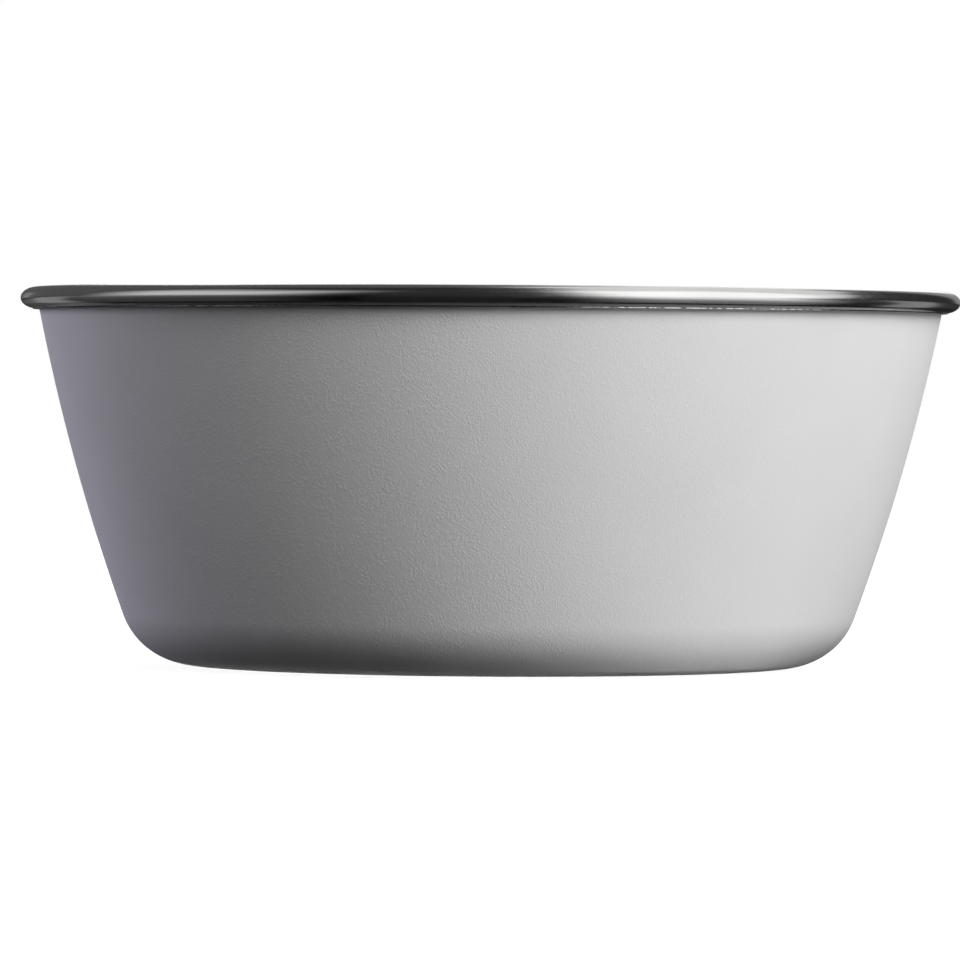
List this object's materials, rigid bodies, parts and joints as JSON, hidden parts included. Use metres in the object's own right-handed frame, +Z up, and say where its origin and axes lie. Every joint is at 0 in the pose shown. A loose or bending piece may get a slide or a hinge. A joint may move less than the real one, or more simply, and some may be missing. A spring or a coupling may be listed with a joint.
{
  "type": "insulated bowl with lid",
  "caption": "Round vacuum-insulated steel bowl with a leaning powder-coated wall, a rolled bare steel rim, and a press-in lid with a fold-down bail and a vent flap.",
  "frame": {"origin": "on the table, under the middle of the base", "axes": "+Z up along the bowl's axis; -Y is the pictured front; the lid's vent is on the +Y side"},
  "size_m": [0.175, 0.175, 0.0703],
  "materials": {
    "powder_coat": "textured powder coat",
    "bowl_steel": "polished rim, satin inside",
    "foil": "bright foil",
    "getter_metal": "matte",
    "seal_glass": "fused bead",
    "pad_silicone": "matte",
    "lid_plastic": "fine moulded texture",
    "lid_foam": "foam",
    "gasket_silicone": "matte",
    "bail_steel": "polished wire"
  },
  "bodies": {
    "bowl": {"outer_shell": "powder_coat", "inner_bowl": "bowl_steel", "radiation_foil": "foil", "getter": "getter_metal", "vacuum_seal": "seal_glass", "base_pad": "pad_silicone"},
    "lid": {"lid_cover": "lid_plastic", "lid_pan": "lid_plastic", "insulation_ring": "lid_foam", "lid_gasket": "gasket_silicone", "vent_pin": "bail_steel"},
    "bail": {"lift_bail": "bail_steel"},
    "vent": {"vent_flap": "lid_plastic", "vent_plug": "gasket_silicone"}
  },
  "joints": [
    {"name": "lid_lift", "type": "slide", "parent": "bowl", "child": "lid", "axis": [0, 0, 1], "range_m": [0, 0.09]},
    {"name": "bail_fold", "type": "hinge", "parent": "lid", "child": "bail", "pos_m": [0, -0.008, 0.06462], "axis": [1, 0, 0], "range_deg": [0, 160]},
    {"name": "vent_open", "type": "hinge", "parent": "lid", "child": "vent", "pos_m": [0, 0.0396, 0.06595], "axis": [1, 0, 0], "range_deg": [0, 100]}
  ]
}
